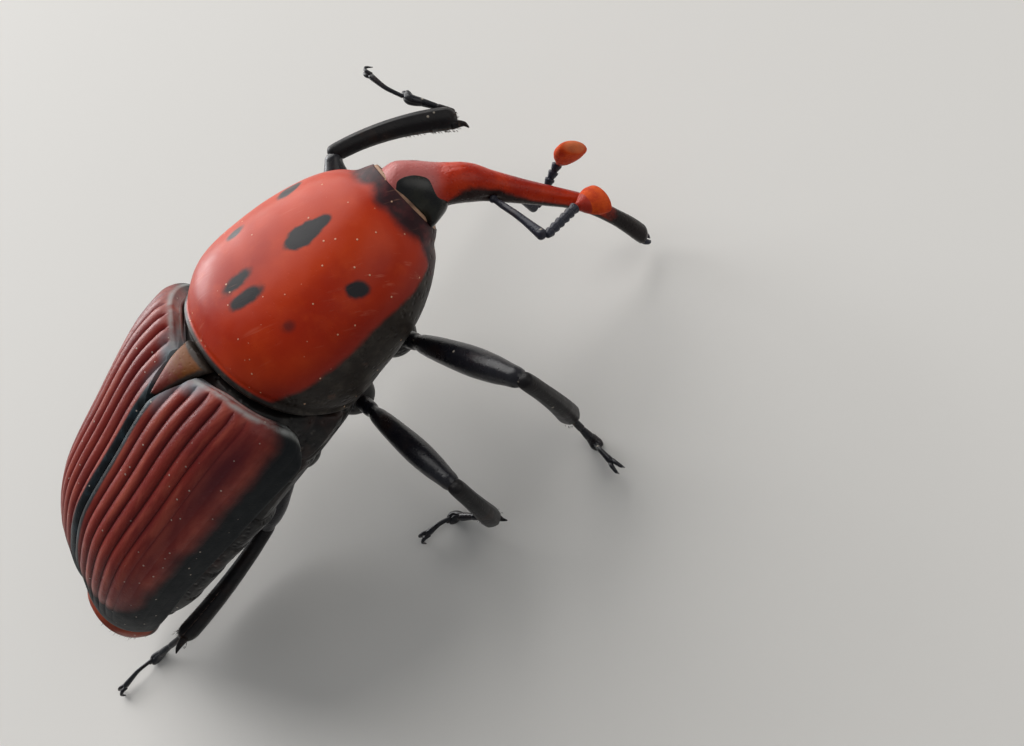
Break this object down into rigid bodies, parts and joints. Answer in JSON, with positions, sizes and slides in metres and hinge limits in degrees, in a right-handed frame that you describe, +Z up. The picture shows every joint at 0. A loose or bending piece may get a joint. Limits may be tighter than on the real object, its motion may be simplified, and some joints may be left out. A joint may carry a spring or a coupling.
{
  "type": "red palm weevil, still model",
  "caption": "Still life-size red palm weevil with a long curved snout, ribbed wing cases, elbowed clubbed antennae and jointed hooked legs, standing on its feet.",
  "frame": {"origin": "middle of the bounding box's underside, on the floor plane that the soles rest on", "axes": "+Z up, -Y the way the beetle faces, +X the beetle's left side"},
  "size_m": [0.025, 0.0366, 0.0121],
  "materials": {
    "pronotum_red": "glossy orange red with black spots",
    "elytra_wine": "satin dark wine red, ribbed",
    "head_red": "glossy pinkish red",
    "rostrum_red": "glossy red, black at the tip",
    "eye_black": "glossy black, faceted",
    "body_black": "satin black, pitted",
    "tail_brown": "satin red brown",
    "shield_brown": "satin red brown",
    "leg_black": "glossy black",
    "antenna_black": "satin black",
    "club_orange": "velvety orange red"
  },
  "bodies": {
    "root": {"head": "head_red", "rostrum": "rostrum_red", "eye_right": "eye_black", "eye_left": "eye_black", "antenna_scape_right": "antenna_black", "antenna_scape_left": "antenna_black", "antenna_funicle_right": "antenna_black", "antenna_funicle_left": "antenna_black", "antenna_club_right": "club_orange", "antenna_club_left": "club_orange", "pronotum": "pronotum_red", "scutellum": "shield_brown", "elytron_right": "elytra_wine", "elytron_left": "elytra_wine", "thorax": "body_black", "abdomen": "body_black", "pygidium": "tail_brown", "coxa_front_right": "leg_black", "femur_front_right": "leg_black", "tibia_front_right": "leg_black", "tarsus_front_right": "leg_black", "coxa_middle_right": "leg_black", "femur_middle_right": "leg_black", "tibia_middle_right": "leg_black", "tarsus_middle_right": "leg_black", "coxa_hind_right": "leg_black", "femur_hind_right": "leg_black", "tibia_hind_right": "leg_black", "tarsus_hind_right": "leg_black", "coxa_front_left": "leg_black", "femur_front_left": "leg_black", "tibia_front_left": "leg_black", "tarsus_front_left": "leg_black", "coxa_middle_left": "leg_black", "femur_middle_left": "leg_black", "tibia_middle_left": "leg_black", "tarsus_middle_left": "leg_black", "coxa_hind_left": "leg_black", "femur_hind_left": "leg_black", "tibia_hind_left": "leg_black", "tarsus_hind_left": "leg_black"}
  },
  "joints": []
}
